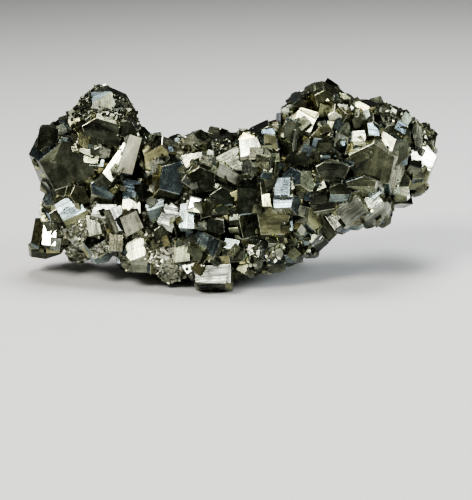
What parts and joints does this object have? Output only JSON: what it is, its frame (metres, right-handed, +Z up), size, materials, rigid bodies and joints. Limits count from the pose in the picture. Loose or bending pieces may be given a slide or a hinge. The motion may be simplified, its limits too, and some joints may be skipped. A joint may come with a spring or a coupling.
{
  "type": "pyrite crystal cluster",
  "caption": "Saddle-shaped cluster of silvery pyrite crystals, pentagonal and cubic, grown together on a granular base.",
  "frame": {"origin": "middle of the footprint, on the ground that the cluster rests on", "axes": "+X to the right along the cluster's length, towards the taller lobe, +Y to the back, +Z up"},
  "size_m": [0.1199, 0.0482, 0.0559],
  "materials": {
    "pyrite": "natural metallic faces, partly striated, with a granular tarnished matrix between them"
  },
  "bodies": {
    "root": {"pyrite_cluster": "pyrite"}
  },
  "joints": []
}
